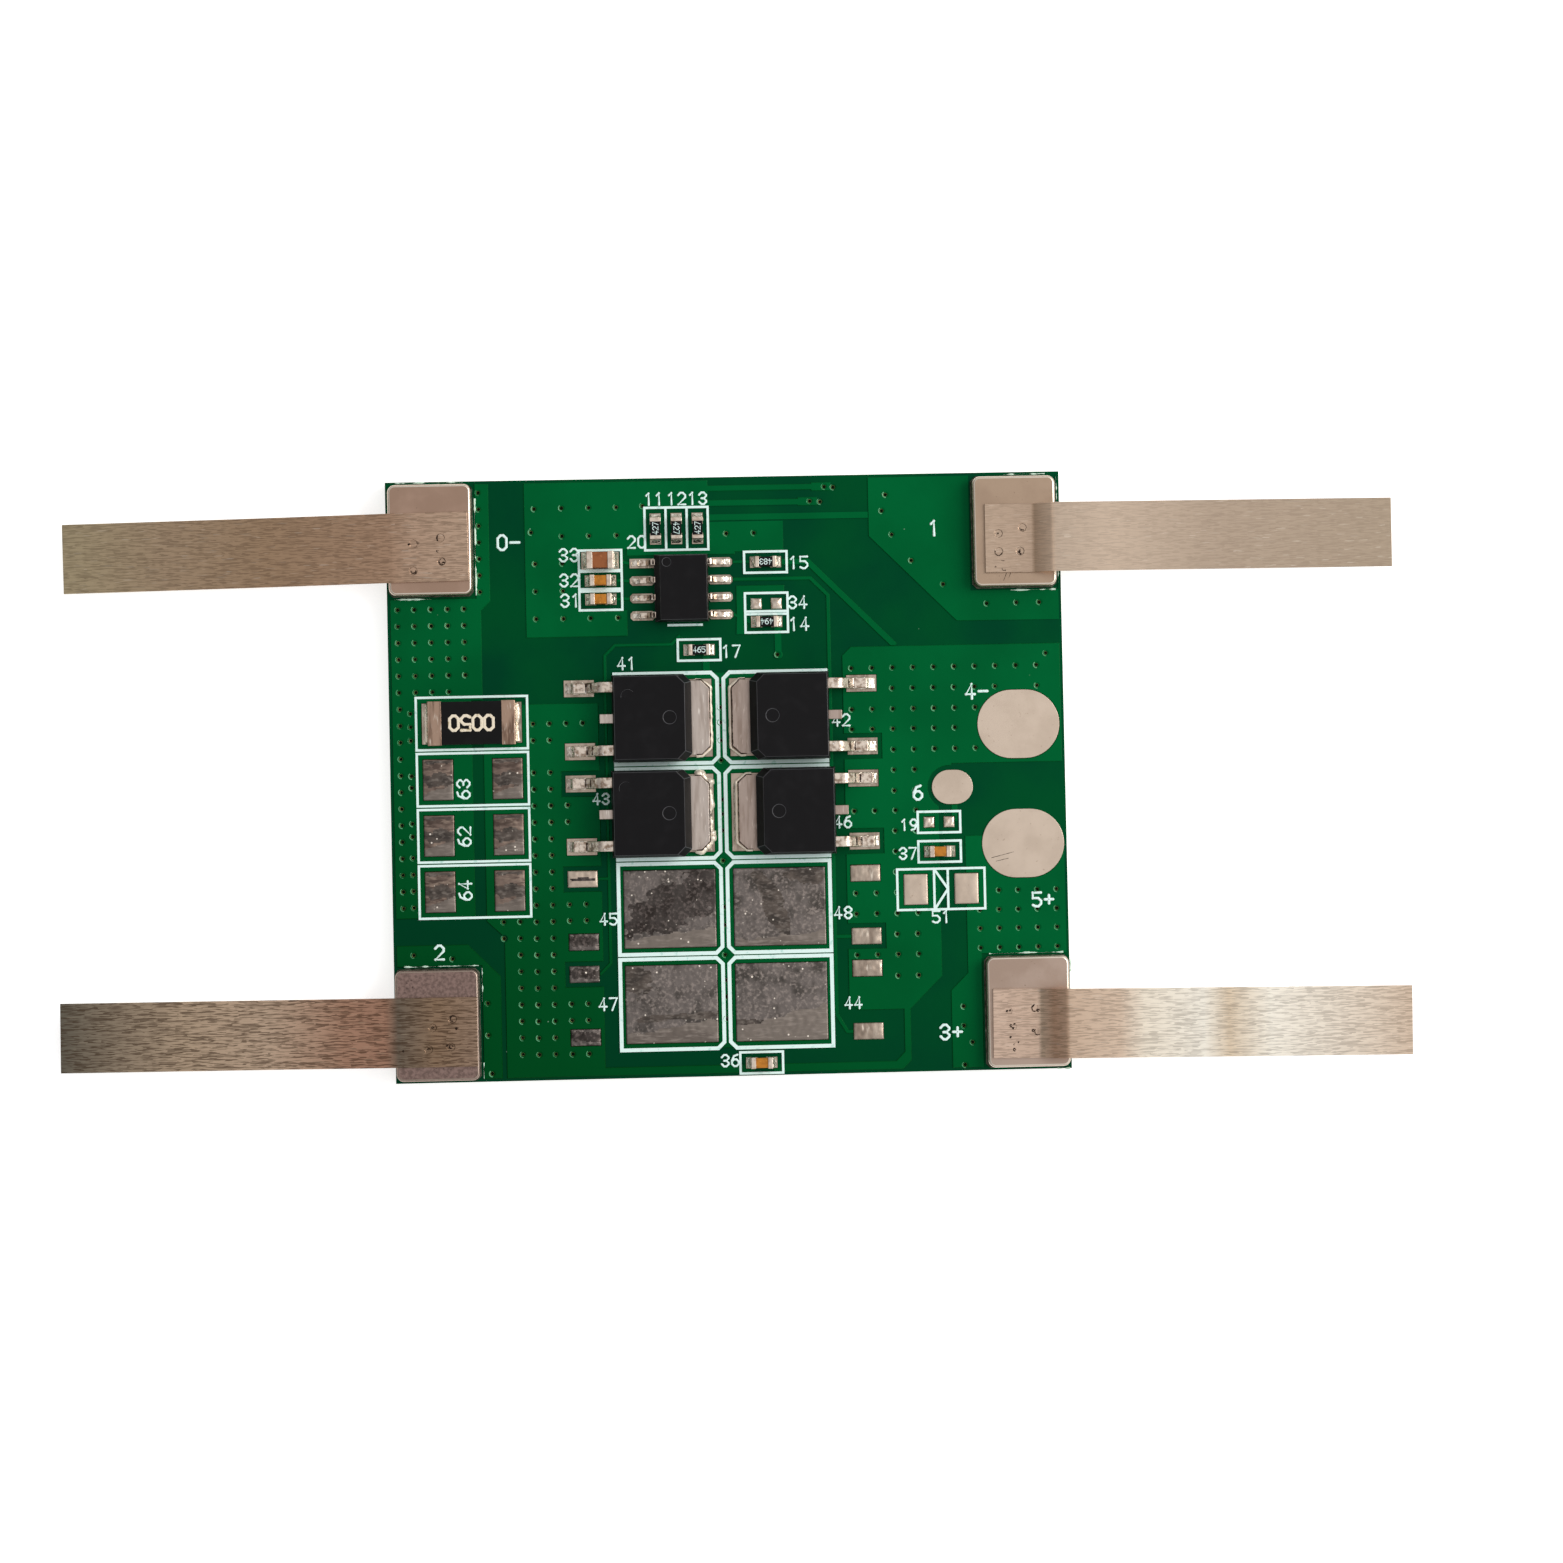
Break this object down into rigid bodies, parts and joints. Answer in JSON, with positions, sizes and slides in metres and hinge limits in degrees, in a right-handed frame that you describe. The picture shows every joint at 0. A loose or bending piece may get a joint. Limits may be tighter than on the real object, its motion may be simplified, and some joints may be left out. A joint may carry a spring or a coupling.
{
  "type": "battery management board",
  "caption": "Flat green circuit board with tabbed power transistors, a protection chip, chip parts, round-ended output pads and nickel strips welded on corner plates.",
  "frame": {"origin": "centre of the board's underside", "axes": "+X along the strips to the output pads' edge, +Y towards the protection chip, +Z out of the component side"},
  "size_m": [0.0976, 0.0434, 0.004],
  "materials": {
    "laminate": "dark green glass-fibre laminate",
    "solder_mask": "green solder mask over copper",
    "legend_ink": "printed white legend",
    "bare_pad": "smooth tinned pad",
    "tinned_pad": "rough tinned pad",
    "solder": "bright solder",
    "nickel_plate": "rolled nickel",
    "nickel_strip": "brushed nickel-plated strip",
    "tinned_lead": "tin plate, satin",
    "epoxy_body": "moulded black epoxy",
    "resistor_body": "black overcoat on ceramic",
    "ceramic_brown": "fired brown ceramic",
    "ceramic_tan": "fired tan ceramic"
  },
  "bodies": {
    "root": {"board_laminate": "laminate", "bottom_copper": "solder_mask", "capacitor_1_body": "ceramic_brown", "capacitor_1_terminals": "tinned_lead", "capacitor_2_body": "ceramic_tan", "capacitor_2_terminals": "tinned_lead", "capacitor_3_body": "ceramic_tan", "capacitor_3_terminals": "tinned_lead", "capacitor_4_body": "ceramic_tan", "capacitor_4_terminals": "tinned_lead", "capacitor_5_body": "ceramic_tan", "capacitor_5_terminals": "tinned_lead", "cell_plate_negative": "nickel_plate", "cell_plate_positive": "nickel_plate", "cell_plate_tap_1": "nickel_plate", "cell_plate_tap_2": "nickel_plate", "chip_solder": "solder", "component_pads": "tinned_pad", "lead_solder": "solder", "legend": "legend_ink", "mosfet_1_body": "epoxy_body", "mosfet_1_leads": "tinned_lead", "mosfet_1_tab": "tinned_lead", "mosfet_2_body": "epoxy_body", "mosfet_2_leads": "tinned_lead", "mosfet_2_tab": "tinned_lead", "mosfet_3_body": "epoxy_body", "mosfet_3_leads": "tinned_lead", "mosfet_3_tab": "tinned_lead", "mosfet_4_body": "epoxy_body", "mosfet_4_leads": "tinned_lead", "mosfet_4_tab": "tinned_lead", "mosfet_tab_solder": "solder", "nickel_strip_negative": "nickel_strip", "nickel_strip_positive": "nickel_strip", "nickel_strip_tap_1": "nickel_strip", "nickel_strip_tap_2": "nickel_strip", "output_pads": "bare_pad", "plate_solder": "solder", "protection_chip_body": "epoxy_body", "protection_chip_leads": "tinned_lead", "resistor_1_body": "resistor_body", "resistor_1_terminals": "tinned_lead", "resistor_2_body": "resistor_body", "resistor_2_terminals": "tinned_lead", "resistor_3_body": "resistor_body", "resistor_3_terminals": "tinned_lead", "resistor_4_body": "resistor_body", "resistor_4_terminals": "tinned_lead", "resistor_5_body": "resistor_body", "resistor_5_terminals": "tinned_lead", "resistor_6_body": "resistor_body", "resistor_6_terminals": "tinned_lead", "sense_resistor_body": "resistor_body", "sense_resistor_terminals": "tinned_lead", "spare_pads": "tinned_pad", "top_copper": "solder_mask"}
  },
  "joints": []
}
